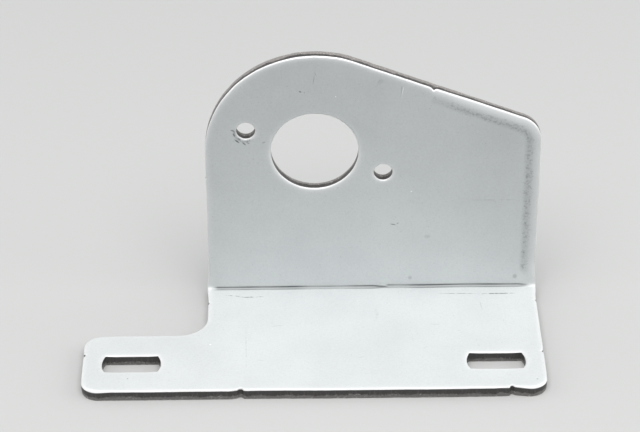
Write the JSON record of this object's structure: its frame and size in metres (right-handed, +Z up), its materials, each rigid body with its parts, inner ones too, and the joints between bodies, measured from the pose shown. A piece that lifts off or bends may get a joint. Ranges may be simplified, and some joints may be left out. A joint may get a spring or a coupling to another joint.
{
  "type": "motor mounting bracket",
  "caption": "Folded sheet steel bracket with a round-nosed upright for a small motor, bored for its boss and two screws, on a slotted base with an ear.",
  "frame": {"origin": "on the underside, at the middle of the overall length and depth", "axes": "+Z up from the base, +X to the right along the length with the ear at -X, -Y towards the base's front edge"},
  "size_m": [0.0788, 0.0318, 0.049],
  "materials": {
    "zinc_plated_steel": "pale zinc plating, satin, with darker punched edges"
  },
  "bodies": {
    "root": {"motor_bracket": "zinc_plated_steel"}
  },
  "joints": []
}
